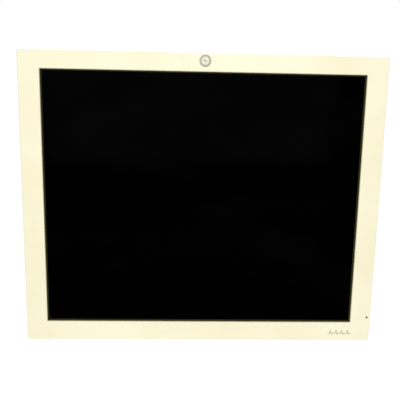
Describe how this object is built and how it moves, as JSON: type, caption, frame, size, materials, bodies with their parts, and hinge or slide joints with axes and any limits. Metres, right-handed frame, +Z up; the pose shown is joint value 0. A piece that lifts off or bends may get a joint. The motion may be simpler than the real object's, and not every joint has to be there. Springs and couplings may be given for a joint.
{
  "type": "patient_monitor",
  "caption": "Flat clinical display head: ivory moulded case with a large dark touch screen, side keys, rear mounting plate and downward connector bay",
  "frame": {"origin": "centre of the rear mounting plate's outer face, straight behind the middle of the screen", "axes": "+X is the viewer's right when facing the screen, +Y points from the screen to the back, +Z is up"},
  "size_m": [0.4312, 0.0688, 0.35],
  "materials": {
    "ivory_plastic": "moulded ivory ABS, fine satin texture",
    "key_plastic": "moulded key caps, slightly darker satin",
    "badge_metal": "brushed and lacquered round badge",
    "smoked_lens": "smoked clear plastic, unlit",
    "screen_glass": "coated touch glass over a dark panel",
    "black_foam": "closed-cell foam and cable jacket",
    "cell_glass": "liquid crystal cell between glass sheets",
    "white_film": "diffuser and reflector film",
    "clear_acrylic": "clear cast acrylic",
    "lamp_glass": "phosphor coated lamp tube",
    "zinc_steel": "zinc plated sheet steel",
    "bright_screw": "turned and plated steel",
    "circuit_board": "green solder mask",
    "black_plastic": "moulded black insulation",
    "sink_aluminium": "extruded and folded aluminium",
    "coil_tape": "taped transformer winding",
    "blue_plastic": "blue port insulator",
    "white_plastic": "white port insulator",
    "grey_ribbon": "flat ribbon cable",
    "red_lead": "insulated lamp lead",
    "label_paper": "blank coated label"
  },
  "bodies": {
    "housing": {"front_bezel": "ivory_plastic", "round_badge": "badge_metal", "power_light_pipe": "smoked_lens", "touch_gasket": "black_foam", "touch_glass": "screen_glass", "panel_tape": "black_foam", "panel_front_frame": "zinc_steel", "panel_cell": "cell_glass", "diffuser_films": "white_film", "light_guide": "clear_acrylic", "upper_lamp": "lamp_glass", "lower_lamp": "lamp_glass", "upper_lamp_reflector": "sink_aluminium", "lower_lamp_reflector": "sink_aluminium", "reflector_sheet": "white_film", "panel_rear_tray": "zinc_steel", "panel_driver_board": "circuit_board", "chassis": "zinc_steel", "main_board": "circuit_board", "main_heat_sink": "sink_aluminium", "power_supply_board": "circuit_board", "supply_transformer": "coil_tape", "supply_capacitor": "black_plastic", "supply_heat_sink": "sink_aluminium", "inverter_board": "circuit_board", "touch_controller_board": "circuit_board", "keypad_board": "circuit_board", "rear_cover": "ivory_plastic", "mounting_plate": "zinc_steel", "mounting_standoff_1": "bright_screw", "mounting_standoff_2": "bright_screw", "mounting_standoff_3": "bright_screw", "mounting_standoff_4": "bright_screw", "connector_plate": "zinc_steel", "digital_video_port": "white_plastic", "analogue_video_port": "blue_plastic", "serial_port": "black_plastic", "mains_inlet": "black_plastic", "rocker_frame": "black_plastic", "earth_stud": "bright_screw", "case_screw_1": "bright_screw", "case_screw_2": "bright_screw", "case_screw_3": "bright_screw", "case_screw_4": "bright_screw", "panel_ribbon": "grey_ribbon", "upper_lamp_lead": "red_lead", "lower_lamp_lead": "red_lead", "mains_lead": "black_foam", "rating_label": "label_paper"},
    "power_key_body": {"power_key": "key_plastic"},
    "menu_key_body": {"menu_key": "key_plastic"},
    "select_key_body": {"select_key": "key_plastic"},
    "up_key_body": {"up_key": "key_plastic"},
    "down_key_body": {"down_key": "key_plastic"},
    "power_rocker_body": {"power_rocker": "black_plastic"}
  },
  "joints": [
    {"name": "power_key_press", "type": "slide", "parent": "housing", "child": "power_key_body", "axis": [-1, 0, 0], "range_m": [0, 0.0008], "stiffness_N_per_m": 1500, "springref_m": -0.0002},
    {"name": "menu_key_press", "type": "slide", "parent": "housing", "child": "menu_key_body", "axis": [-1, 0, 0], "range_m": [0, 0.0008], "stiffness_N_per_m": 1500, "springref_m": -0.0002},
    {"name": "select_key_press", "type": "slide", "parent": "housing", "child": "select_key_body", "axis": [-1, 0, 0], "range_m": [0, 0.0008], "stiffness_N_per_m": 1500, "springref_m": -0.0002},
    {"name": "up_key_press", "type": "slide", "parent": "housing", "child": "up_key_body", "axis": [-1, 0, 0], "range_m": [0, 0.0008], "stiffness_N_per_m": 1500, "springref_m": -0.0002},
    {"name": "down_key_press", "type": "slide", "parent": "housing", "child": "down_key_body", "axis": [-1, 0, 0], "range_m": [0, 0.0008], "stiffness_N_per_m": 1500, "springref_m": -0.0002},
    {"name": "power_rocker_tilt", "type": "hinge", "parent": "housing", "child": "power_rocker_body", "pos_m": [0.035, -0.0204, -0.0898], "axis": [0, 1, 0], "range_deg": [0, 18]}
  ]
}
